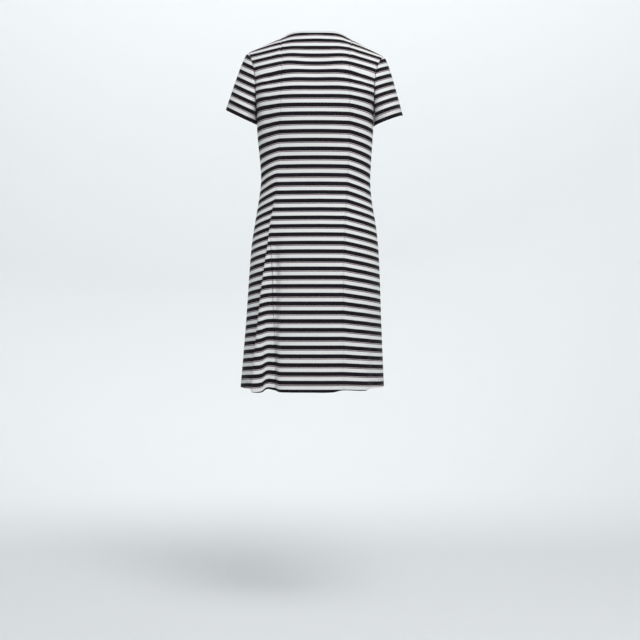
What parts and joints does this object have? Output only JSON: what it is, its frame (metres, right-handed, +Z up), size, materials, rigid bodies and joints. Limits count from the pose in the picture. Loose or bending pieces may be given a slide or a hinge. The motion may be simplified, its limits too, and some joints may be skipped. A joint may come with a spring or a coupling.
{
  "type": "short-sleeved jersey dress",
  "caption": "Round-necked, short-sleeved A-line dress in striped jersey, hollow and hanging as worn, with princess seams in the back.",
  "frame": {"origin": "middle of the neck opening, between the two neck points, at the height of the shoulder seams", "axes": "+Z up, towards the wearer's head; +Y out of the wearer's back; +X to the wearer's left"},
  "size_m": [0.4789, 0.2867, 0.957],
  "materials": {
    "striped_jersey": "soft matt cotton jersey, off-white with black stripes and a fine dark red line under each",
    "neck_binding": "soft matt off-white jersey binding"
  },
  "bodies": {
    "root": {"front": "striped_jersey", "back_centre": "striped_jersey", "back_side_left": "striped_jersey", "back_side_right": "striped_jersey", "sleeve_left": "striped_jersey", "sleeve_right": "striped_jersey", "neck_band": "neck_binding"}
  },
  "joints": []
}
